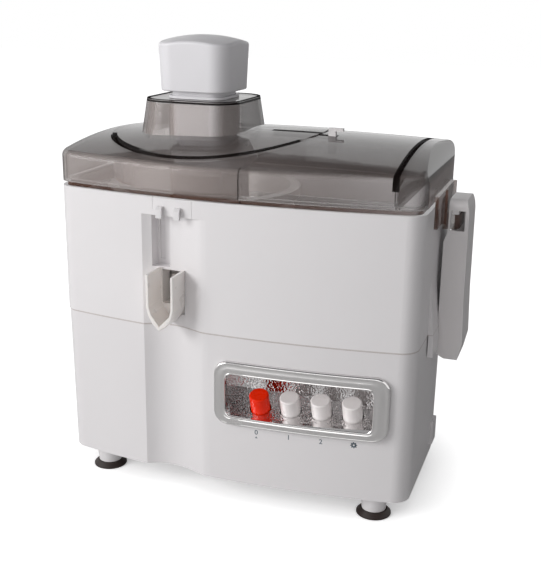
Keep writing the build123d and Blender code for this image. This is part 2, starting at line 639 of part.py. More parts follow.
def spout():
    a, b = SPOUT_X
    w = SPOUT_WALL
    tip = SPOUT_TIP
    outer = [(a, SPOUT_TOP), (a + 0.2, tip + 15.6), (a + 1.6, tip + 10.1),
             (a + 4.4, tip + 4.8), (a + 9.4, tip),
             (b - 6.0, tip + 3.2), (b - 1.6, tip + 9.2), (b - 0.2, tip + 14.6), (b, SPOUT_TOP)]
    inner = [(a + w, SPOUT_TOP + 5), (a + w + 0.2, tip + 16.2), (a + w + 1.8, tip + 11.2),
             (a + 9.6, tip + 3.0),
             (b - w - 1.4, tip + 11.0), (b - w - 0.2, tip + 15.6), (b - w, SPOUT_TOP + 5)]
    root = FRONT + 8.0
    body = extrude(Plane.XZ.offset(-root) * make_face(Polyline(*outer, close=True)), root - SPOUT_FRONT)
    body = soft(body, body.edges().group_by(Axis.Y)[0], 0.7)
    body -= slab(SEAM, CHANNEL_TOP, inset=-GAP, valley=True)
    x = (SPOUT_ENTRY_X[0] + SPOUT_FIT, SPOUT_ENTRY_X[1] - SPOUT_FIT)
    z = (SPOUT_ENTRY_Z[0] + 0.5, SPOUT_ENTRY_Z[1] - 0.4)
    body += block(x, (FRONT + 6.5, NOZZLE_END - 0.6), z)
    cut = extrude(Plane.XZ.offset(60) * make_face(Polyline(*inner, close=True)), 60)
    body -= cut & block((a - 9, b + 10), (SPOUT_FRONT - 15, FRONT + 6.4), (tip - 10, SPOUT_TOP + 10))
    body -= block((x[0] + w, x[1] - w), (FRONT + 1, NOZZLE_END + 1.8), (z[0] + 6.3, SPOUT_TOP + 10))
    return solid_of(body)


def juice_bowl():
    body = ring(AXIS_X, 0, (BOWL_FLOOR, BOWL_TOP), BOWL_R, BOWL_R - BOWL_WALL)
    body += ring(AXIS_X, 0, (BOWL_FLOOR, BOWL_FLOOR + 2.2), BOWL_R, COLLAR_R + COLLAR_FIT)
    body += ring(AXIS_X, 0, (BOWL_FLOOR, BOWL_FLOOR + 10), COLLAR_R + 3.4, COLLAR_R + COLLAR_FIT)
    nozzle = block(NOZZLE_X, (NOZZLE_END, 8 - BOWL_R), (BOWL_FLOOR + 1, BOWL_FLOOR + 16))
    body += nozzle
    bore = (NOZZLE_X[0] + NOZZLE_WALL, NOZZLE_X[1] - NOZZLE_WALL)
    body -= block(bore, (NOZZLE_END - 8, 8 - BOWL_R), (BOWL_FLOOR + 2.2, BOWL_FLOOR + 16 - NOZZLE_WALL))
    body -= ring(AXIS_X, 0, (BOWL_FLOOR + 2.2, BOWL_FLOOR + 24), BOWL_R - BOWL_WALL, COLLAR_R + 3.4) & nozzle
    return solid_of(body)


def clamp_pin(side):
    return Pos(side * PIN_X, 0, PIN_Z) * Rot(90, 0, 0) * Cylinder(PIN_R, 2 * CLAMP_HALF - 2.0)


# ================================================================ clamps
def clamp(side):
    out, top_z, low_z, wall = LEVER_OUT, LEVER_TOP, LEVER_BOTTOM, LEVER_WALL
    near = HALF_LENGTH + 3.0
    points = [(near + 2.4, top_z), (out - 4.5, top_z), (out - 3.0, top_z - 5.6), (out - 2.4, LUG_TOP + 1),
              (out - 1.8, PIN_Z + 35.5), (out - 0.6, PIN_Z + 2.5), (out - 3.3, low_z), (near, low_z),
              (near, LUG_TOP - 19), (near + 2.4, LUG_TOP - 12)]
    body = extrude(Plane.XZ.offset(-CLAMP_HALF) * make_face(Polyline(*points, close=True)), 2 * CLAMP_HALF)
    top = body.edges().filter_by(Axis.X).group_by(Axis.Z)[-1]
    body = soft(body, top, 5.0)
    corners = body.edges().filter_by(lambda e: abs(abs(e.center().Y) - CLAMP_HALF) < 0.1)
    outer = corners.filter_by(lambda e: e.center().X > out - 3)
    body = soft(body, outer, 1.6)
    inner = [(near - 4, top_z - wall), (out - wall - 4.0, top_z - wall), (out - wall - 2.8, top_z - 7.0),
             (out - wall - 2.4, LUG_TOP + 1), (out - wall - 1.8, PIN_Z + 35.5),
             (out - wall - 0.6, PIN_Z + 2.5),
             (out - wall - 3.1, low_z - 4), (near - 4, low_z - 4)]
    half = CLAMP_HALF - CHEEK
    body -= extrude(Plane.XZ.offset(-half) * make_face(Polyline(*inner, close=True)), 2 * half)
    heel = block((near - 4, PIN_X), (-20, 20), (low_z - 4, PIN_Z))
    heel -= Pos(PIN_X, 0, PIN_Z) * Rot(90, 0, 0) * Cylinder(10.6, 60)
    body -= heel
    body -= block((near + 3.6, near + 13.6), (-CLAMP_HALF - 4, 0), (LUG_TOP - 10.8, LUG_TOP + 3.2))
    body += block((near + 4.6, near + 9.0), (-half - 0.5, half + 0.5), (LUG_TOP + GAP, LUG_TOP + 4.6))
    body += block((near + 8.0, out - wall - 2.0), (-half - 0.5, half + 0.5), (LUG_TOP + 3.3, LUG_TOP + 4.6))
    body -= Pos(PIN_X, 0, PIN_Z) * Rot(90, 0, 0) * Cylinder(PIN_R + PIN_FIT, 2 * CLAMP_HALF - 1.6)
    body = solid_of(body)
    return mirror(body, Plane.YZ) if side < 0 else body


# ================================================================ basket
def basket_hub():
    body = rod(AXIS_X, 0, (COLLAR_TOP + 1, BASKET_BOTTOM), HUB_R)
    body += rod(AXIS_X, 0, (BASKET_BOTTOM - 2.4, BASKET_BOTTOM), BASKET_BOTTOM_R)
    body += ring(AXIS_X, 0, (BASKET_BOTTOM - 9.5, BASKET_BOTTOM - 2), COLLAR_R + 7.5, COLLAR_R + 5.5)
    socket = Pos(AXIS_X, 0, COLLAR_TOP) * RegularPolygon(COUPLING_R + SOCKET_CLEARANCE, 6)
    socket = extrude(socket, COUPLING_TOP + GAP - COLLAR_TOP)
    body -= socket
    body += rod(AXIS_X, 0, (BASKET_BOTTOM - 1, BASKET_BOTTOM + 5.0), 5.0)
    return body


def basket_mesh():
    w = BASKET_WALL
    points = [(BASKET_BOTTOM_R, BASKET_BOTTOM), (BASKET_BOTTOM_R + 0.2, BASKET_BOTTOM - 2.0),
              (BASKET_BOTTOM_R + 1.6, BASKET_BOTTOM - 2.0), (BASKET_TOP_R + 0.9, BASKET_TOP - 1.6),
              (FLANGE_R - 1.4, BASKET_TOP - 1.6), (FLANGE_R - 1.4, FLANGE_LIP), (FLANGE_R, FLANGE_LIP),
              (FLANGE_R, BASKET_TOP), (BASKET_TOP_R, BASKET_TOP), (BASKET_BOTTOM_R + 0.6, BASKET_BOTTOM + w),
              (PLATE_HOLE_R, BASKET_BOTTOM + w), (PLATE_HOLE_R, BASKET_BOTTOM)]
    profile = make_face(Polyline(*points, close=True))
    return Pos(AXIS_X, 0, 0) * revolve(Plane.XZ * profile, Axis.Z)


def grater_disc():
    body = ring(AXIS_X, 0, (BASKET_BOTTOM + BASKET_WALL, BASKET_BOTTOM + 2.2), PLATE_HOLE_R + 4, 5.0)
    body += ring(AXIS_X, 0, (BASKET_BOTTOM, BASKET_BOTTOM + 1.5), PLATE_HOLE_R - 2, 5.0)
    for i in range(8):
        for j, share in enumerate((0.4, 0.6, 0.8, 1.0)):
            tooth = Pos(share * PLATE_HOLE_R, 0, BASKET_BOTTOM + 2.7) * Rot(0, 0, 45) * Box(1.8, 1.8, 1.4)
            body += Pos(AXIS_X, 0, 0) * Rot(0, 0, 45 * i + 11 * j) * tooth
    return body


# ================================================================ lid
def lid_profile(x, inset, drop):
    side = FRONT + inset
    end = LID_SIDE_Z - inset * 0.6
    top = LID_TOP_Z - inset - drop
    low = LID_BOTTOM if inset == 0 else LID_BOTTOM - 20
    edges = [Line((side, low), (side, end)), ThreePointArc((side, end), (0, top), (-side, end)),
             Line((-side, end), (-side, low)), Line((-side, low), (side, low))]
    return Plane.YZ.offset(x) * make_face(Curve() + edges)


def lid_block(inset):
    far = HALF_LENGTH + 2
    faces = [lid_profile(-far, inset, LID_LEFT_DROP), lid_profile(0, inset, 0.0),
             lid_profile(far, inset, LID_RIGHT_DROP)]
    body = loft(faces) & slab(LID_BOTTOM - 22, TOWER_RIM_Z, inset=inset)
    reach = HALF_LENGTH - inset - 0.5
    rim = body.edges().filter_by(lambda e: -e.center().X > reach and e.center().Z > LID_SIDE_Z - 4)
    return soft(body, rim, LID_EDGE_R - 0.5 * inset) & lid_right_end(inset)


def lid_right_end(inset):
    end, top, radius = HALF_LENGTH - inset, LID_TOP_Z - inset, LID_RIGHT_R - inset
    low, high, far = LID_BOTTOM - 30, LID_TOP_Z + 5, -HALF_LENGTH - 5
    inward = ARC_MID * radius
    bow = ThreePointArc((end, top - radius), (end - inward, top - inward), (end - radius, top))
    edges = [Line((far, low), (end, low)), Line((end, low), (end, top - radius)), bow,
             Line((end - radius, top), (end - radius, high)), Line((end - radius, high), (far, high)),
             Line((far, high), (far, low))]
    return extrude(Plane.XZ.offset(-BACK - 5) * make_face(Curve() + edges), 2 * BACK + 10)


def tower(grow, bottom):
    foot = rounded(TOWER_FOOT_HALF - grow, 22.0 - grow, bottom)
    rim = rounded(TOWER_RIM_HALF - grow, 20.0 - grow, TOWER_RIM_Z)
    return loft([foot, rim], ruled=True)


def lid_cover():
    outer = lid_block(0.0)
    dome = rod(CUP_RIB_X, 0, (LID_BOTTOM, TOWER_RIM_Z), CUP_RIB_R) & (Pos(0, 0, 1.4) * lid_block(0.0))
    dome &= slab(LID_BOTTOM, TOWER_RIM_Z, inset=6)
    outer += dome
    outer += tower(0.0, LID_TOP_Z - 10.5)
    inner = lid_block(LID_WALL)
    body = outer - inner
    plate = (TOWER_RIM_Z - TOWER_TOP_WALL - LID_WALL, TOWER_RIM_Z - TOWER_TOP_WALL)
    wide = (AXIS_X - 50, AXIS_X + 50)
    body -= tower(LID_WALL, LID_TOP_Z - 14.5) & block(wide, (-60, 60), (LID_TOP_Z - 54, plate[0]))
    body -= tower(LID_WALL, LID_TOP_Z - 14.5) & block(wide, (-60, 60), (plate[1], TOWER_RIM_Z + 1))
    within = slab(LEDGE - 12, LID_SIDE_Z, inset=SKIRT_IN)
    skirt = slab(LEDGE + GAP, LID_BOTTOM + 1.5, inset=SKIRT_OUT) - within
    flange = slab(LID_BOTTOM, LID_BOTTOM + 1.6) - within
    body += skirt + flange
    cavity = lid_block(LID_WALL - 0.2)
    foot, over = BASKET_TOP + 7.5, LID_TOP_Z + 8
    cup = ring(CUP_RIB_X, 0, (foot, over), CUP_RIB_R, CUP_RIB_R - RIB)
    cup -= block((PULP_X[0] - 2, HALF_LENGTH), (-BACK, BACK), (foot - 20, over + 20))
    cross = block((PULP_X[1] - 0.8, PULP_X[1] + 1.4), (-86, 86), (foot + 0.5, over))
    corner = block((PULP_X[0] - 0.6, PULP_X[0] + 1.2), (-88.5, PULP_Y + 2), (foot + 0.5, over))
    pulp_front = block(PULP_X, (PULP_Y, PULP_Y + RIB), (LID_BOTTOM + 2.8, over))
    fins = (cup + cross + corner + pulp_front) & cavity
    body += fins
    body += tube_square(CHUTE_HALF + CHUTE_WALL, 10.0, (CHUTE_BOTTOM, plate[1]))
    body -= tube_square(CHUTE_HALF, 8.0, (CHUTE_BOTTOM - 1, TOWER_RIM_Z + 5))
    body -= block(SLOT_X, (SLOT_Y - SLOT_HALF, SLOT_Y + SLOT_HALF), (LID_TOP_Z - 8.5, over))
    for side in (-1, 1):
        body += lid_ear(side)
    return solid_of(body)


def lid_ear(side):
    ear_top = LID_BOTTOM + 3.8
    ear = block(EAR_X, EAR_Y, (EAR_BOTTOM, ear_top))
    ear += block((HALF_LENGTH - 1.5, EAR_X[0] + 0.5), EAR_Y, (LID_BOTTOM + 0.2, ear_top))
    for side_y in (-1, 1):
        rib = sorted([side_y * (CLAMP_HALF + 1.6), side_y * (CLAMP_HALF + 3.6)])
        ear += block((EAR_X[0], EAR_X[1] + 1.7), rib, (EAR_BOTTOM - 2, ear_top))
    tip = HALF_LENGTH + LUG_OUT
    lug = Polyline((EAR_X[0], LUG_TOP), (tip, LUG_TOP - 0.6), (tip, LUG_TOP - LUG_HIGH + 1.4),
                   (tip - 2.4, LUG_TOP - LUG_HIGH), (EAR_X[0], LUG_TOP - LUG_HIGH), close=True)
    ear += extrude(Plane.XZ.offset(-LUG_HALF) * make_face(lug), 2 * LUG_HALF)
    ear += block(EAR_X, (-LUG_HALF, LUG_HALF), (LUG_TOP - LUG_HIGH, EAR_BOTTOM + 1))
    return mirror(ear, Plane.YZ) if side < 0 else ear


def slider_tab():
    a, b = TAB_X
    wide = (-TAB_HALF, TAB_HALF)
    top = LID_TOP_Z + 5.4
    body = block(TAB_X, wide, (LID_TOP_Z - 13.0, top - 0.6))
    body += block((a, b + 5.4), wide, (top - 2.2, top))
    body += block((a - 3.8, b + 3.8), (-6.0, 6.0), (LID_TOP_Z - 5.6, LID_TOP_Z - 3.6))
    return Pos(0, SLOT_Y, 0) * body


# ================================================================ pusher
def pusher_cap():
    low = rounded(CAP_HALF_LOW, 13.0, CAP_BOTTOM)
    high = rounded(CAP_HALF_HIGH, 14.0, CAP_TOP)
    body = loft([low, high], ruled=True)
    radius = 105.0
    body &= Pos(AXIS_X, 0, CAP_TOP - radius) * Sphere(radius)
    top = body.edges().filter_by(lambda e: e.center().Z > CAP_EDGE - 4 and e.length > 8)
    body = soft(body, top, 2.5)
    body = soft(body, body.edges().group_by(Axis.Z)[0], 1.2)
    return body - tube_square(CAP_SPIGOT + 0.2, 11.0, (CAP_BOTTOM - 1, CAP_TOP - CAP_ROOF))


def pusher_stem():
    body = tube_square(CAP_SPIGOT, 10.9, (CAP_BOTTOM, CAP_BOTTOM + 2.6))
    body += tube_square(STEM_HALF, 8.5, (CHUTE_BOTTOM + 1.5, CAP_BOTTOM + 1))
    body -= tube_square(STEM_HALF - STEM_WALL, 6.5, (CHUTE_BOTTOM + 4.0, CAP_BOTTOM + 4))
    seat = TOWER_RIM_Z - TOWER_TOP_WALL
    shoulder = tube_square(STEM_HALF + 2.2, 9.5, (seat + GAP, seat + GAP + 1.8))
    shoulder -= tube_square(STEM_HALF - 1, 7.5, (seat - 1, seat + 3))
    return body + shoulder


# ================================================================ output
save(base_shell(), "base_shell")
save(base_plate(), "base_plate")
for name, place in zip(("front_right", "front_left", "back_right", "back_left"), feet()):
    save(suction_cup(*place), "suction_cup_" + name)
save(Compound([screw(x, y, BASE_BOTTOM + 2.2, 14.0, 3.7, BOSS_SCREW_R) for x, y in BOSSES]), "cover_screws")
save(control_bezel(), "control_bezel")
for name, x in zip(("button_stop", "button_one", "button_two", "button_pulse"), BUTTON_AT):
    save(button(x), name)
save(switch_block(), "switch_block")
save(drip_seal(), "drip_seal")
save(cord_gland(), "cord_gland")
save(stator_core(), "stator_core")
save(field_coil(-1), "field_coil_front")
save(field_coil(1), "field_coil_back")
save(motor_bracket(True), "motor_bracket_low")
save(motor_bracket(False), "motor_bracket_high")
save(bearing(BEARING_LOW), "bearing_low")
save(bearing(BEARING_HIGH), "bearing_high")
save(brush_holder(-1), "brush_left")
save(brush_holder(1), "brush_right")
save(control_board(), "control_board")
save(breaker(), "overload_breaker")
save(rod(AXIS_X, 0, (SHAFT_BOTTOM, SHAFT_TOP), SHAFT_R), "rotor_shaft")
save(armature(), "armature_core")
save(armature_winding((CORE_Z[1] - 1, CORE_Z[1] + 3.5)), "armature_winding_high")
save(armature_winding((CORE_Z[0] - 4.5, CORE_Z[0] + 1)), "armature_winding_low")
save(commutator(), "commutator")
save(fan(), "cooling_fan")
save(drive_coupling(), "drive_coupling")
save(housing_shell(), "housing_shell")
save(hook_plate(), "hook_plate")
save(spout(), "spout")
save(juice_bowl(), "juice_bowl")
save(clamp_pin(1), "clamp_pin_right")
save(clamp_pin(-1), "clamp_pin_left")
save(clamp(1), "clamp_right")
save(clamp(-1), "clamp_left")
save(basket_hub(), "basket_hub")
save(basket_mesh(), "strainer_basket")
save(grater_disc(), "grater_disc")
save(lid_cover(), "lid_cover")
save(slider_tab(), "slider_tab")
save(pusher_cap(), "pusher_cap")
save(pusher_stem(), "pusher_stem")
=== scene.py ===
# %% [markdown]
# # Dressing a centrifugal juicer
# The juicer is a white moulded box on four suction cups. A clear smoke lid with a feed tower stands on it,
# a square pusher fills the tower, and two white levers hold the lid down. The CAD parts come in first as a fixed
# frame. They keep their size and place, and this lesson gives them a camera, a studio, finishes and the fine pieces
# that a CAD model leaves plain.

# %% Load the frame
import math

import bpy
from mathutils import Matrix, Vector


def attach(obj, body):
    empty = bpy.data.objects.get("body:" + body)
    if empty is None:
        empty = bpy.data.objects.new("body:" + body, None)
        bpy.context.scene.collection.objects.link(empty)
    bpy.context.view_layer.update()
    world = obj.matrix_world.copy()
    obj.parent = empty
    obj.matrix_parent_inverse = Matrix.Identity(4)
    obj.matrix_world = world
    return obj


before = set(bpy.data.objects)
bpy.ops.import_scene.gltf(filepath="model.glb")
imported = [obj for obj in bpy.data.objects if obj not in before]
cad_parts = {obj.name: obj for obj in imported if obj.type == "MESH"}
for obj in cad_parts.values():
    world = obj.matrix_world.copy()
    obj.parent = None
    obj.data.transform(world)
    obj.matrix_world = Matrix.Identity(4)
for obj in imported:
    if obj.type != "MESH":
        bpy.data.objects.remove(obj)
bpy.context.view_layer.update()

# %% [markdown]
# ## The camera
# A product is usually seen from a little above and a little to one side. The camera stands about 0.7 m away, in front
# and to the right, turned left by its yaw, down by its pitch, and very slightly tilted, as a hand-levelled tripod is.
# Placing it by three angles is easier to follow than a matrix of nine numbers.

# %% Camera
yaw, pitch, roll = math.radians(19.069), math.radians(16.961), math.radians(0.922)
lens_data = bpy.data.cameras.new("camera")
lens_data.sensor_fit = "HORIZONTAL"
lens_data.sensor_width = 36.0
lens_data.lens = 63.24
lens_data.clip_start = 0.02
camera = bpy.data.objects.new("camera", lens_data)
bpy.context.scene.collection.objects.link(camera)
camera.matrix_world = (
    Matrix.Translation((0.2296, -0.6511, 0.3523))
    @ Matrix.Rotation(yaw, 4, "Z")
    @ Matrix.Rotation(math.pi / 2 - pitch, 4, "X")
    @ Matrix.Rotation(roll, 4, "Z")
)
bpy.context.scene.camera = camera
bpy.context.scene.view_settings.view_transform = "Standard"
print("camera at", [round(v, 3) for v in camera.location])

# %% [markdown]
# ## Small helpers
# Paint is easiest to think of in the numbers of a colour picker, 0 to 255, but a shader wants linear light. One
# helper turns the first into the second. Another opens a new material and hands back its main shader, and a third
# feeds a noise pattern, read from Object coordinates so that it stays fixed to the plastic, into colour, roughness
# and a very fine bump. Real mouldings are never perfectly even, and this is what keeps them from looking drawn.

# %% Colour and finish helpers
def paint(red, green, blue):
    """A colour-picker colour as linear light."""
    parts = [c / 255 for c in (red, green, blue)]
    return tuple(c / 12.92 if c <= 0.04045 else ((c + 0.055) / 1.055) ** 2.4 for c in parts) + (1.0,)


def new_finish(name, colour, roughness, metallic=0.0):
    """A material with one main shader; returns the material, its nodes, its links and the shader."""
    material = bpy.data.materials.new(name)
    material.use_nodes = True
    nodes, links = material.node_tree.nodes, material.node_tree.links
    shader = nodes["Principled BSDF"]
    shader.inputs["Base Color"].default_value = colour
    shader.inputs["Roughness"].default_value = roughness
    shader.inputs["Metallic"].default_value = metallic
    return material, nodes, links, shader


def noise(nodes, links, size, detail=3.0, stretch=(1, 1, 1)):
    """A noise pattern whose lumps are about size metres across."""
    place = nodes.new("ShaderNodeTexCoord")
    turn = nodes.new("ShaderNodeMapping")
    turn.inputs["Scale"].default_value = stretch
    pattern = nodes.new("ShaderNodeTexNoise")
    pattern.inputs["Scale"].default_value = 1.0 / size
    pattern.inputs["Detail"].default_value = detail
    links.new(place.outputs["Object"], turn.inputs["Vector"])
    links.new(turn.outputs["Vector"], pattern.inputs["Vector"])
    return pattern.outputs["Fac"]


def tint(nodes, links, shader, colour, factor, darker=0.94):
    """Lets the colour drift a little darker where the pattern is low."""
    mix = nodes.new("ShaderNodeMix")
    mix.data_type = "RGBA"
    mix.inputs["A"].default_value = tuple(c * darker for c in colour[:3]) + (1.0,)
    mix.inputs["B"].default_value = colour
    links.new(factor, mix.inputs["Factor"])
    links.new(mix.outputs["Result"], shader.inputs["Base Color"])


def spread(nodes, links, factor, low, high, target):
    """Turns a 0.3 to 0.7 pattern into a range of values on a socket."""
    span = nodes.new("ShaderNodeMapRange")
    span.inputs["From Min"].default_value = 0.3
    span.inputs["From Max"].default_value = 0.7
    span.inputs["To Min"].default_value = low
    span.inputs["To Max"].default_value = high
    links.new(factor, span.inputs["Value"])
    links.new(span.outputs["Result"], target)


def emboss(nodes, links, shader, height, depth, strength=1.0):
    """A bump, depth metres deep."""
    bump = nodes.new("ShaderNodeBump")
    bump.inputs["Strength"].default_value = strength
    bump.inputs["Distance"].default_value = depth
    links.new(height, bump.inputs["Height"])
    links.new(bump.outputs["Normal"], shader.inputs["Normal"])
    return bump


def moulded(name, colour, roughness, mottle=0.97, grain=0.0009, depth=0.000012):
    """Moulded plastic: a slow drift of colour, patches of wear in the gloss, and a fine skin."""
    material, nodes, links, shader = new_finish(name, colour, roughness)
    tint(nodes, links, shader, colour, noise(nodes, links, 0.045), mottle)
    spread(nodes, links, noise(nodes, links, 0.012, 5.0), roughness * 0.85, roughness * 1.2,
           shader.inputs["Roughness"])
    emboss(nodes, links, shader, noise(nodes, links, grain, 2.0), depth)
    return material


def calc(nodes, links, how, first, second):
    """One Math node; each side may be a socket or a number."""
    node = nodes.new("ShaderNodeMath")
    node.operation = how
    for socket, value in zip(node.inputs, (first, second)):
        if isinstance(value, (int, float)):
            socket.default_value = value
        else:
            links.new(value, socket)
    return node.outputs["Value"]


def band(nodes, links, value, low, high, soft=0.0002):
    """1 where the value lies between low and high, falling to 0 over the soft distance."""
    rise = nodes.new("ShaderNodeMapRange")
    rise.inputs["From Min"].default_value = low - soft
    rise.inputs["From Max"].default_value = low
    links.new(value, rise.inputs["Value"])
    fall = nodes.new("ShaderNodeMapRange")
    fall.inputs["From Min"].default_value = high
    fall.inputs["From Max"].default_value = high + soft
    fall.inputs["To Min"].default_value = 1.0
    fall.inputs["To Max"].default_value = 0.0
    links.new(value, fall.inputs["Value"])
    return calc(nodes, links, "MULTIPLY", rise.outputs["Result"], fall.outputs["Result"])


def position(nodes, links):
    """Object coordinates split into X, Y and Z."""
    place = nodes.new("ShaderNodeTexCoord")
    split = nodes.new("ShaderNodeSeparateXYZ")
    links.new(place.outputs["Object"], split.inputs["Vector"])
    return split.outputs["X"], split.outputs["Y"], split.outputs["Z"]


def overlay(nodes, links, shader, mask, colour):
    """Lays a second colour over whatever feeds the base colour, where the mask is 1."""
    old = shader.inputs["Base Color"].links[0].from_socket
    mix = nodes.new("ShaderNodeMix")
    mix.data_type = "RGBA"
    mix.inputs["B"].default_value = colour
    links.new(mask, mix.inputs["Factor"])
    links.new(old, mix.inputs["A"])
    links.new(mix.outputs["Result"], shader.inputs["Base Color"])


def dress(material, *names):
    """Puts a finish on CAD parts."""
    for name in names:
        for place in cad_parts[name].material_slots:
            place.material = material
    print(material.name, "on", len(names), "parts")

# %% [markdown]
# ## White plastic
# The casing is glossy white ABS that has aged to a faintly warm, faintly pink white. It isn't a mirror: light spreads
# in it, so the roughness is near 0.35. The pusher is a cleaner white, and the base a shade greyer, because the two
# are moulded from different batches. The buttons use the same plastic with a satin skin.

# %% White plastic
casing = moulded("casing_white", paint(233, 230, 231), 0.34, 0.985)
footing = moulded("base_white", paint(230, 227, 228), 0.36, 0.98)
pusher_white = moulded("pusher_white", paint(233, 231, 234), 0.36, 0.985)
lever_white = moulded("lever_white", paint(229, 225, 225), 0.38, 0.98)
button_white = moulded("button_white", paint(246, 240, 239), 0.30, 0.97)
button_red = moulded("button_red", paint(255, 44, 2), 0.28, 0.93)
button_red.node_tree.nodes["Principled BSDF"].inputs["Specular IOR Level"].default_value = 0.2
# Painted shade: a thin brownish band at the seam between head and base, on both shells, stands in for the shade in the
# narrow gap between the two parts.
for finish, low, high in ((casing, 0.12815, 0.1283), (footing, 0.1272, 0.1274)):
    nodes, links = finish.node_tree.nodes, finish.node_tree.links
    height = position(nodes, links)[2]
    painted_seam_shade = calc(nodes, links, "MULTIPLY", band(nodes, links, height, low, high, 0.0001), 0.7)
    overlay(nodes, links, nodes["Principled BSDF"], painted_seam_shade, paint(150, 128, 116))
dress(casing, "housing_shell", "hook_plate")
dress(footing, "base_shell", "base_plate")
dress(pusher_white, "pusher_cap", "pusher_stem")
dress(lever_white, "clamp_right", "clamp_left")
dress(button_white, "button_one", "button_two", "button_pulse")
dress(button_red, "button_stop")

# %% [markdown]
# ## Pale grey bowl, spout and hub
# The juice bowl and the spout are a greyer, slightly translucent plastic. Juice stains them a little, so the colour
# drifts more than on the casing. The hub of the basket is a matt white nylon.

# %% Pale plastic
bowl_grey = moulded("bowl_grey", paint(214, 208, 205), 0.33, 0.93)
spout_white = moulded("spout_white", paint(246, 240, 236), 0.30, 0.97)
thin = spout_white.node_tree.nodes["Principled BSDF"]
thin.inputs["Subsurface Weight"].default_value = 0.4
thin.inputs["Subsurface Radius"].default_value = (1.0, 0.92, 0.88)
thin.inputs["Subsurface Scale"].default_value = 0.006
hub_white = moulded("hub_white", paint(224, 221, 217), 0.55, 0.95)
tab_white = moulded("tab_white", paint(226, 222, 222), 0.34, 0.97)
dress(bowl_grey, "juice_bowl")
dress(spout_white, "spout")
dress(hub_white, "basket_hub")
dress(tab_white, "slider_tab")

# %% [markdown]
# ## The smoke lid
# The lid is tinted clear plastic a couple of millimetres thick. True refraction through two walls and a bowl makes
# noise and darkens what is inside, so the tint is made another way: the surface lets most light straight through
# when it is seen face on, and grows more opaque towards its edges, as a tinted wall does when it is looked along.
# Layer Weight gives that angle, and a map range turns it into the amount of tint. Where the wall is seen face on,
# its colour is also lifted to a pale painted sheen, a painted stand-in for the light from behind and around it, so the
# front walls read lighter than the flat top. That painted sheen fades towards the right end, as painted shade of the
# closed bay below. The gloss is low, because a full gloss would mirror the white room and turn the flat top milky.
#
# Its ribs, the rim of the tower and the slot look almost black, since light leaves such a thick wall only at its
# far edge. They are marked by their place on the lid: a band is a pair of limits on one measure, such as the
# distance from the cup's axis or the depth under the crown, and two bands multiplied give a short stretch of line.

# %% Dark lines of the lid
TOWER_EAST, TOWER_NORTH, CUP_EAST = -0.0514, 0.0059, -0.0380
CROWN_TOP, CROWN_FALL_EAST, CROWN_FALL_NORTH = 0.257, 0.25, 1.75
SHALLOW, DEEP, FRONT_LIMIT = -0.0042, -0.0070, -0.0290


def both_of(nodes, links, first, second):
    return calc(nodes, links, "MULTIPLY", first, second)


def lid_lines(nodes, links):
    """1 along the cup's edge, the cross rib, the tower's rim and the slot, and 0 elsewhere."""
    x, y, z = position(nodes, links)
    east = calc(nodes, links, "SUBTRACT", x, TOWER_EAST)
    north = calc(nodes, links, "SUBTRACT", y, TOWER_NORTH)
    far_north = both_of(nodes, links, north, north)
    from_cup = calc(nodes, links, "SUBTRACT", x, CUP_EAST)
    squares = calc(nodes, links, "ADD", both_of(nodes, links, from_cup, from_cup), far_north)
    radius = calc(nodes, links, "SQRT", squares, 0.0)
    reach = calc(nodes, links, "MAXIMUM", calc(nodes, links, "ABSOLUTE", east, 0.0),
                 calc(nodes, links, "ABSOLUTE", north, 0.0))
    fall = calc(nodes, links, "ADD", both_of(nodes, links, both_of(nodes, links, x, x), CROWN_FALL_EAST),
                both_of(nodes, links, far_north, CROWN_FALL_NORTH))
    depth = calc(nodes, links, "SUBTRACT", calc(nodes, links, "ADD", z, fall), CROWN_TOP)
    near_top = band(nodes, links, depth, SHALLOW, 0.01)
    in_front = band(nodes, links, y, -0.2, FRONT_LIMIT, 0.004)
    deeper = band(nodes, links, depth, DEEP, 0.01)
    cup = both_of(nodes, links, band(nodes, links, radius, 0.0787, 0.0804),
                  both_of(nodes, links, near_top, in_front))
    leftward = band(nodes, links, x, -0.2, -0.070, 0.02)
    cup_left = both_of(nodes, links, band(nodes, links, radius, 0.0766, 0.0812),
                       both_of(nodes, links, leftward, both_of(nodes, links, deeper, in_front)))
    cross = both_of(nodes, links, band(nodes, links, x, 0.1100, 0.1140), deeper)
    corner = both_of(nodes, links, band(nodes, links, x, 0.0101, 0.0106), band(nodes, links, y, -0.1, -0.0795))
    slot = both_of(nodes, links, band(nodes, links, north, -0.0116, -0.0054),
                   both_of(nodes, links, band(nodes, links, x, 0.0055, 0.0540), near_top))
    brim = calc(nodes, links, "MAXIMUM", band(nodes, links, z, 0.2766, 0.27795),
                band(nodes, links, z, 0.2784, 0.2800))
    rim = both_of(nodes, links, brim, band(nodes, links, reach, 0.0260, 0.0500))
    lines = cup
    for other in (cup_left, cross, corner, slot, rim):
        lines = calc(nodes, links, "MAXIMUM", lines, other)
    return lines


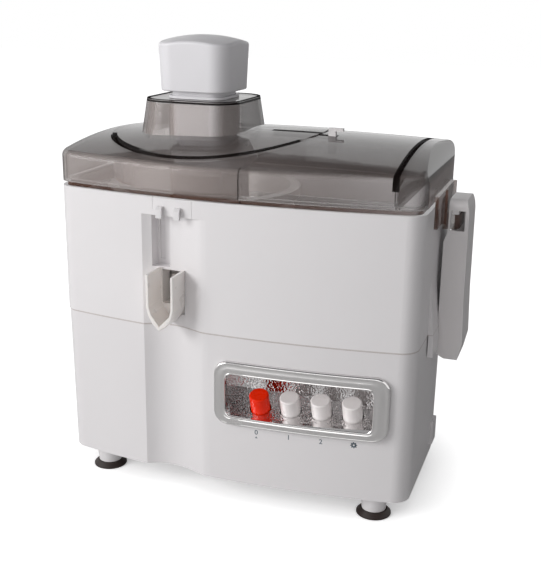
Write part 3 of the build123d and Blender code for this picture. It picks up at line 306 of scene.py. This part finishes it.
# %% Smoke plastic
def smoke(name, colour, painted_sheen, dark, brown, roughness, face_on, edge_on):
    material, nodes, links, shader = new_finish(name, colour, roughness)
    tint(nodes, links, shader, colour, noise(nodes, links, 0.05), 0.95)
    angle = nodes.new("ShaderNodeLayerWeight")
    angle.inputs["Blend"].default_value = 0.64
    towards = calc(nodes, links, "SUBTRACT", 1.0, angle.outputs["Facing"])
    x, y, z = position(nodes, links)
    # Painted light: where the wall is seen face on, its colour turns to the pale painted sheen, and that sheen fades
    # towards the right end as painted shade of the closed bay.
    painted_bay_shade = nodes.new("ShaderNodeMapRange")
    painted_bay_shade.inputs["From Min"].default_value = -0.060
    painted_bay_shade.inputs["From Max"].default_value = 0.110
    painted_bay_shade.inputs["To Min"].default_value = 1.0
    painted_bay_shade.inputs["To Max"].default_value = 0.42
    links.new(x, painted_bay_shade.inputs["Value"])
    overlay(nodes, links, shader, both_of(nodes, links, towards, painted_bay_shade.outputs["Result"]), painted_sheen)
    # Painted shade: the skirt band, which stands in the gap under the rim, gets a darker brown and more opacity; the
    # ears at the two ends get the same brown.
    skirt = band(nodes, links, z, 0.2000, 0.2228)
    ears = calc(nodes, links, "GREATER_THAN", calc(nodes, links, "ABSOLUTE", x, 0.0), 0.1308)
    overlay(nodes, links, shader, calc(nodes, links, "MAXIMUM", skirt, ears), brown)
    lines = lid_lines(nodes, links)
    overlay(nodes, links, shader, lines, dark)
    gloss = both_of(nodes, links, calc(nodes, links, "SUBTRACT", 1.0, lines), 0.22)
    links.new(gloss, shader.inputs["Specular IOR Level"])
    amount = nodes.new("ShaderNodeMapRange")
    amount.inputs["To Min"].default_value = face_on
    amount.inputs["To Max"].default_value = edge_on
    links.new(angle.outputs["Facing"], amount.inputs["Value"])
    whole = amount.outputs["Result"]
    for mask, least in ((lines, 0.93), (skirt, 0.35), (ears, 0.60)):
        whole = calc(nodes, links, "MAXIMUM", whole, both_of(nodes, links, mask, least))
    ray = nodes.new("ShaderNodeLightPath")
    kept = nodes.new("ShaderNodeMapRange")
    kept.inputs["To Min"].default_value = 0.04
    links.new(ray.outputs["Is Camera Ray"], kept.inputs["Value"])
    links.new(both_of(nodes, links, whole, kept.outputs["Result"]), shader.inputs["Alpha"])
    spread(nodes, links, noise(nodes, links, 0.02, 3.0), roughness * 0.8, roughness * 1.25,
           shader.inputs["Roughness"])
    emboss(nodes, links, shader, noise(nodes, links, 0.03, 2.0), 0.00005)
    return material


# The pale colour given here is a painted sheen, painted light on the walls seen face on.
smoke_clear = smoke("smoke_clear", colour=paint(56, 47, 45), painted_sheen=paint(206, 194, 190), dark=paint(24, 19, 18),
                    brown=paint(100, 70, 58), roughness=0.06, face_on=0.12, edge_on=0.95)
dress(smoke_clear, "lid_cover")

# %% [markdown]
# ## Metals
# The tray of the buttons is plastic with a chrome skin. Its floor is pebbled, like hammered metal, and its frame is a
# plain mirror. Both are one part, so a mask made from the depth behind the curved front tells the floor from the
# frame, and the pebble bump is mixed in only there. The basket and the grater are fine brushed steel, the motor's
# core is dull stamped sheet, and the brackets are cast aluminium.

# %% Chrome for the tray
def chromed_tray(name):
    colour = paint(226, 224, 224)
    material, nodes, links, shader = new_finish(name, colour, 0.06, 1.0)
    place = nodes.new("ShaderNodeTexCoord")
    split = nodes.new("ShaderNodeSeparateXYZ")
    links.new(place.outputs["Object"], split.inputs["Vector"])
    bow = nodes.new("ShaderNodeMath")
    bow.operation = "MULTIPLY"
    links.new(split.outputs["X"], bow.inputs[0])
    links.new(split.outputs["X"], bow.inputs[1])
    curve = nodes.new("ShaderNodeMath")
    curve.operation = "MULTIPLY_ADD"
    curve.inputs[1].default_value = -0.7353
    links.new(bow.outputs["Value"], curve.inputs[0])
    links.new(split.outputs["Y"], curve.inputs[2])
    behind = nodes.new("ShaderNodeMapRange")
    behind.inputs["From Min"].default_value = -0.0842
    behind.inputs["From Max"].default_value = -0.0826
    links.new(curve.outputs["Value"], behind.inputs["Value"])
    pebbles = nodes.new("ShaderNodeTexVoronoi")
    pebbles.feature = "SMOOTH_F1"
    pebbles.inputs["Scale"].default_value = 700.0
    pebbles.inputs["Smoothness"].default_value = 0.7
    links.new(place.outputs["Object"], pebbles.inputs["Vector"])
    height = nodes.new("ShaderNodeMath")
    height.operation = "MULTIPLY"
    links.new(pebbles.outputs["Distance"], height.inputs[0])
    links.new(behind.outputs["Result"], height.inputs[1])
    emboss(nodes, links, shader, height.outputs["Value"], 0.00035)
    tint(nodes, links, shader, colour, noise(nodes, links, 0.02), 0.92)
    spread(nodes, links, noise(nodes, links, 0.006, 4.0), 0.04, 0.11, shader.inputs["Roughness"])
    return material


chrome = chromed_tray("tray_chrome")
dress(chrome, "control_bezel")

# %% Steel, copper and castings
def metal(name, colour, roughness, stretch, size=0.004, depth=0.00002):
    """Metal with lines drawn out along one axis, or lumps where the stretch is even."""
    material, nodes, links, shader = new_finish(name, colour, roughness, 1.0)
    lines = noise(nodes, links, size, 6.0, stretch)
    tint(nodes, links, shader, colour, lines, 0.80)
    spread(nodes, links, lines, roughness * 0.75, roughness * 1.3, shader.inputs["Roughness"])
    emboss(nodes, links, shader, lines, depth)
    return material


steel = metal("brushed_steel", paint(206, 204, 202), 0.28, (1, 1, 9))
etched = metal("etched_steel", paint(150, 147, 145), 0.46, (1, 1, 9))
core = metal("stacked_sheet_steel", paint(120, 120, 124), 0.45, (0.4, 0.4, 12))
copper = metal("varnished_copper_wire", paint(190, 110, 62), 0.35, (1, 1, 7), 0.0035, 0.0004)
bars = metal("commutator_copper", paint(212, 140, 96), 0.30, (6, 6, 0.5), 0.003)
casting = metal("cast_aluminium", paint(186, 186, 188), 0.50, (1, 1, 1), 0.002, 0.00006)
dress(etched, "strainer_basket", "grater_disc")
dress(steel, "rotor_shaft", "bearing_high", "bearing_low", "clamp_pin_right", "clamp_pin_left", "cover_screws")
dress(core, "armature_core", "stator_core")
dress(copper, "field_coil_front", "field_coil_back", "armature_winding_high", "armature_winding_low")
dress(bars, "commutator")
dress(casting, "motor_bracket_high", "motor_bracket_low")

# %% [markdown]
# ## Dark plastics and rubber
# The feet are brown-black rubber with a dull bloom. Inside, the coupling, the fan and the switch block are matt nylon,
# and the brushes are carbon. They are seen only when the head is lifted, but each still gets its own grain.

# %% Rubber and dark mouldings
foot_rubber = moulded("foot_rubber", paint(40, 27, 24), 0.50, 0.75, 0.0006, 0.00004)
seal_rubber = moulded("seal_rubber", paint(62, 58, 58), 0.65, 0.85, 0.0007, 0.00004)
nylon = moulded("black_nylon", paint(44, 44, 45), 0.45, 0.85, 0.0008, 0.00003)
dark_moulding = moulded("dark_moulding", paint(40, 40, 42), 0.50, 0.85, 0.0012, 0.00004)
carbon = moulded("brush_carbon", paint(48, 47, 49), 0.60, 0.80, 0.0006, 0.00003)
board_green = moulded("board_green", paint(42, 92, 58), 0.42, 0.85, 0.002, 0.00002)
dress(foot_rubber, "suction_cup_front_right", "suction_cup_front_left",
      "suction_cup_back_right", "suction_cup_back_left")
dress(seal_rubber, "drip_seal", "cord_gland")
dress(nylon, "drive_coupling", "cooling_fan")
dress(dark_moulding, "switch_block", "overload_breaker")
dress(carbon, "brush_left", "brush_right")
dress(board_green, "control_board")

# %% [markdown]
# ## The rounded frame of the tray
# The frame around the buttons is pressed with a bead along both edges and a soft swell between them, and only such a
# rounded chrome edge mirrors a room in light and dark stripes. It starts as a plane with its four corners bevelled.
# Insets, each a little further in and a little higher or lower, draw the section, and the last face is the window.
# Then each point is moved onto the bowed front, and the rings are spread to meet the window of the tray.

# %% Helpers for modelling
def alone(thing):
    """Makes one object the only selected one."""
    bpy.ops.object.select_all(action="DESELECT")
    thing.select_set(True)
    bpy.context.view_layer.objects.active = thing


def pick(thing, kind, test):
    """Selects the faces, edges or vertices that pass a test, in edit mode."""
    bpy.ops.object.mode_set(mode="EDIT")
    bpy.ops.mesh.select_mode(type=kind)
    bpy.ops.mesh.select_all(action="DESELECT")
    bpy.ops.object.mode_set(mode="OBJECT")
    mesh = thing.data
    items = {"FACE": mesh.polygons, "EDGE": mesh.edges, "VERT": mesh.vertices}[kind]
    for item in items:
        item.select = test(item, mesh)
    bpy.ops.object.mode_set(mode="EDIT")


def edge_length(edge, mesh):
    a, b = (mesh.vertices[v].co for v in edge.vertices)
    return (a - b).length


# %% Rounded frame
left, right, low, high = -0.0060, 0.1160, 0.0634, 0.1100
bpy.ops.object.select_all(action="DESELECT")
bpy.ops.mesh.primitive_plane_add(size=1, location=((left + right) / 2, 0, (low + high) / 2),
                                 rotation=(math.pi / 2, 0, 0))
trim = bpy.context.object
trim.name = "tray_frame"
trim.scale = (right - left, high - low, 1)
bpy.ops.object.transform_apply(location=True, rotation=True, scale=True)
bpy.ops.object.mode_set(mode="EDIT")
bpy.ops.mesh.bevel(offset=0.0100, segments=10, affect="VERTICES")
pick(trim, "EDGE", lambda e, m: edge_length(e, m) > 0.01)
bpy.ops.mesh.subdivide(number_cuts=24)
pick(trim, "FACE", lambda f, m: True)
section = ((0.0004, 0.0006), (0.0005, 0.0003), (0.0006, -0.0003), (0.0011, 0.0000), (0.0014, 0.0003),
           (0.0014, 0.0002), (0.0011, -0.0002), (0.0008, -0.0004), (0.0004, 0.0003), (0.0004, 0.0001),
           (0.0004, -0.0009))
for width, rise in section:
    bpy.ops.mesh.inset(thickness=width, depth=rise, use_even_offset=True)
bpy.ops.mesh.delete(type="FACE")
bpy.ops.object.mode_set(mode="OBJECT")
whole = sum(width for width, _ in section)
corner = 0.0100
window = (0.0022, 0.1054, 0.0699, 0.1012)
for vertex in trim.data.vertices:
    x, y, z = vertex.co
    ox = min(max(x, left + corner), right - corner)
    oz = min(max(z, low + corner), high - corner)
    away = math.hypot(x - ox, z - oz)
    share = (corner - away) / whole
    bounds = [a + (b - a) * share for a, b in zip((left, right, low, high), window)]
    radius = corner + (0.0050 - corner) * share
    part_x = (ox - left - corner) / (right - left - 2 * corner)
    part_z = (oz - low - corner) / (high - low - 2 * corner)
    cx = bounds[0] + radius + part_x * (bounds[1] - bounds[0] - 2 * radius)
    cz = bounds[2] + radius + part_z * (bounds[3] - bounds[2] - 2 * radius)
    nx, nz = cx + (x - ox) / away * radius, cz + (z - oz) / away * radius
    face = 0.5959 - math.sqrt(0.6824 ** 2 - nx * nx)
    vertex.co = (nx, face - 0.00005 + y, nz)
alone(trim)
bpy.ops.object.shade_smooth()
depths = [v.co.y for v in trim.data.vertices]
print("frame points:", len(depths), "y", round(min(depths), 4), "to", round(max(depths), 4))

# %% Chrome for the frame
trim_chrome, nodes, links, shader = new_finish("frame_chrome", paint(232, 230, 229), 0.04, 1.0)
tint(nodes, links, shader, paint(232, 230, 229), noise(nodes, links, 0.02), 0.94)
spread(nodes, links, noise(nodes, links, 0.005, 4.0), 0.025, 0.075, shader.inputs["Roughness"])
emboss(nodes, links, shader, noise(nodes, links, 0.012, 2.0), 0.00008)
trim.data.materials.append(trim_chrome)
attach(trim, "base")

# %% [markdown]
# ## Numbers under the buttons
# The speeds are printed in slate grey under the buttons: 0, 1 and 2, and a small cog for the pulse button. Each is
# made as text or as a circle with its teeth pushed out, turned to stand upright, given a few hundredths of a
# millimetre of thickness, and laid on the bowed front by sending a ray from each point straight back to the shell.

# %% Printed marks
ink = moulded("slate_ink", paint(96, 108, 118), 0.45, 0.9)


def on_front(thing, proud):
    """Lays an upright flat mesh on the bowed front of the base, following its slight lean."""
    for vertex in thing.data.vertices:
        x, y, z = vertex.co
        hit, place, _, _ = front_shell.ray_cast(Vector((x, -0.2, z)), Vector((0, 1, 0)))
        vertex.co.y = place.y - proud - y
    thing.data.materials.append(ink)
    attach(thing, "base")


front_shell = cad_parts["base_shell"]


def printed(name, body, x, z, size):
    bpy.ops.object.select_all(action="DESELECT")
    bpy.ops.object.text_add(location=(x, 0, z), rotation=(math.pi / 2, 0, 0))
    mark = bpy.context.object
    mark.name = name
    mark.data.body = body
    mark.data.size = size
    mark.data.align_x = "CENTER"
    mark.data.offset = 0.00006
    bpy.ops.object.convert(target="MESH")
    bpy.ops.object.transform_apply(location=True, rotation=True, scale=True)
    bpy.ops.object.mode_set(mode="EDIT")
    bpy.ops.mesh.select_all(action="SELECT")
    bpy.ops.mesh.remove_doubles(threshold=0.00002)
    bpy.ops.object.mode_set(mode="OBJECT")
    on_front(mark, 0.00006)
    print(name, len(mark.data.vertices), "points")


printed("mark_zero", "0", 0.0243, 0.0571, 0.0050)
printed("mark_one", "1", 0.0476, 0.0567, 0.0050)
printed("mark_two", "2", 0.0702, 0.0566, 0.0050)

# %% Pointer and cog
bpy.ops.object.select_all(action="DESELECT")
bpy.ops.mesh.primitive_circle_add(vertices=3, radius=0.0011, fill_type="NGON", location=(0.0243, 0, 0.0547),
                                  rotation=(math.pi / 2, 0, 0))
pointer = bpy.context.object
pointer.name = "mark_pointer"
bpy.ops.object.transform_apply(location=True, rotation=True, scale=True)
bpy.ops.object.mode_set(mode="EDIT")
bpy.ops.mesh.select_all(action="SELECT")
bpy.ops.mesh.extrude_region_move(TRANSFORM_OT_translate={"value": (0, -0.0001, 0)})
bpy.ops.object.mode_set(mode="OBJECT")
on_front(pointer, 0.00002)

bpy.ops.object.select_all(action="DESELECT")
cog_x, cog_z = 0.0929, 0.0584
bpy.ops.mesh.primitive_circle_add(vertices=32, radius=0.0019, fill_type="NGON", location=(cog_x, 0, cog_z),
                                  rotation=(math.pi / 2, 0, 0))
cog = bpy.context.object
cog.name = "mark_cog"
bpy.ops.object.transform_apply(location=True, rotation=True, scale=True)
for place, vertex in enumerate(cog.data.vertices):
    push = 1.28 if place % 4 < 2 else 0.92
    vertex.co.x = cog_x + (vertex.co.x - cog_x) * push
    vertex.co.z = cog_z + (vertex.co.z - cog_z) * push
bpy.ops.object.mode_set(mode="EDIT")
bpy.ops.mesh.select_all(action="SELECT")
bpy.ops.mesh.inset(thickness=0.0011)
bpy.ops.mesh.delete(type="FACE")
bpy.ops.mesh.select_all(action="SELECT")
bpy.ops.mesh.extrude_region_move(TRANSFORM_OT_translate={"value": (0, -0.0001, 0)})
bpy.ops.object.mode_set(mode="OBJECT")
on_front(cog, 0.00002)
print("pointer and cog printed")

# %% [markdown]
# ## The studio
# A large soft lamp stands at the front left, a little above the juicer, and a weak one fills the front. The floor is
# white paper. White paper photographs a little grey, so the part of it that only the camera sees is let go to pure
# white where no shadow falls: its colour is lifted for camera rays alone, and the shadow under the juicer stays.
# The lift is weakened where ambient occlusion finds the juicer close by, which paints a soft contact shadow under it.
# The world is dim for the object, and white for the camera, for reflections and for what shows through the lid.
# A grey ceiling above keeps the top faces from mirroring white all over, and a low dark card in front gives the
# chrome something dark to mirror, as a photographer's black flag does.

# %% Studio
def lamp(name, place, aim, size, power):
    light = bpy.data.lights.new(name, "AREA")
    light.shape = "RECTANGLE"
    light.size, light.size_y = size
    light.energy = power
    stand = bpy.data.objects.new(name, light)
    bpy.context.scene.collection.objects.link(stand)
    stand.location = place
    stand.rotation_euler = (Vector(aim) - Vector(place)).to_track_quat("-Z", "Y").to_euler()
    return stand


lamp("key_lamp", (-1.25, -1.30, 0.80), (-0.02, 0.0, 0.16), (1.0, 1.0), 21.0)
lamp("fill_lamp", (0.10, -1.7, 0.45), (0.0, 0.0, 0.16), (1.2, 0.9), 3.6)

world = bpy.data.worlds.new("studio")
bpy.context.scene.world = world
world.use_nodes = True
sky, sky_links = world.node_tree.nodes, world.node_tree.links
ray = sky.new("ShaderNodeLightPath")
seen = sky.new("ShaderNodeMath")
seen.operation = "MAXIMUM"
sky_links.new(ray.outputs["Is Camera Ray"], seen.inputs[0])
sky_links.new(ray.outputs["Is Transmission Ray"], seen.inputs[1])
seen_or_glossy = sky.new("ShaderNodeMath")
seen_or_glossy.operation = "MAXIMUM"
sky_links.new(seen.outputs["Value"], seen_or_glossy.inputs[0])
sky_links.new(ray.outputs["Is Glossy Ray"], seen_or_glossy.inputs[1])
level = sky.new("ShaderNodeMapRange")
level.inputs["To Min"].default_value = 0.26
level.inputs["To Max"].default_value = 1.0
sky_links.new(seen_or_glossy.outputs["Value"], level.inputs["Value"])
sky_links.new(level.outputs["Result"], sky["Background"].inputs["Strength"])
sky["Background"].inputs["Color"].default_value = (1, 1, 1, 1)

# %% Floor
bpy.ops.object.select_all(action="DESELECT")
bpy.ops.mesh.primitive_plane_add(size=9.0, location=(0, 0, -0.0002))
floor = bpy.context.object
floor.name = "floor"
paper, nodes, links, shader = new_finish("white_paper", (0.80, 0.80, 0.80, 1), 0.9)
ray = nodes.new("ShaderNodeLightPath")
seen_paper = nodes.new("ShaderNodeBsdfDiffuse")
seen_paper.inputs["Color"].default_value = (1.1, 1.1, 1.1, 1)
lift = nodes.new("ShaderNodeEmission")
# Painted shadow: the camera-only lift is weakened where ambient occlusion finds the juicer close by, which darkens the
# paper under it.
near = nodes.new("ShaderNodeAmbientOcclusion")
near.samples = 8
near.inputs["Distance"].default_value = 0.05
strength = nodes.new("ShaderNodeMapRange")
strength.inputs["From Min"].default_value = 0.2
strength.inputs["To Min"].default_value = 0.30
strength.inputs["To Max"].default_value = 0.90
links.new(near.outputs["AO"], strength.inputs["Value"])
links.new(strength.outputs["Result"], lift.inputs["Strength"])
both = nodes.new("ShaderNodeAddShader")
choose = nodes.new("ShaderNodeMixShader")
links.new(seen_paper.outputs["BSDF"], both.inputs[0])
links.new(lift.outputs["Emission"], both.inputs[1])
links.new(ray.outputs["Is Camera Ray"], choose.inputs["Fac"])
links.new(shader.outputs["BSDF"], choose.inputs[1])
links.new(both.outputs["Shader"], choose.inputs[2])
links.new(choose.outputs["Shader"], nodes["Material Output"].inputs["Surface"])
floor.data.materials.append(paper)
print("floor laid")

# %% Grey ceiling
bpy.ops.object.select_all(action="DESELECT")
bpy.ops.mesh.primitive_plane_add(size=3.4, location=(0.0, 0.3, 1.7), rotation=(math.pi, 0, 0))
ceiling = bpy.context.object
ceiling.name = "ceiling"
ceiling.data.materials.append(new_finish("ceiling_grey", (0.30, 0.30, 0.31, 1), 0.9)[0])
ceiling.visible_camera = False
ceiling.visible_shadow = False
print("ceiling hung")

# %% Dark card
bpy.ops.object.select_all(action="DESELECT")
bpy.ops.mesh.primitive_plane_add(size=1.0, location=(0.2, -1.9, 0.25), rotation=(math.pi / 2, 0, 0))
card = bpy.context.object
card.name = "dark_card"
card.scale = (3.2, 0.34, 1.0)
bpy.ops.object.transform_apply(location=False, rotation=False, scale=True)
card.data.materials.append(new_finish("card_black", (0.01, 0.01, 0.01, 1), 0.9)[0])
card.visible_camera = False
card.visible_diffuse = False
card.visible_transmission = False
card.visible_shadow = False
print("card for the chrome to mirror")
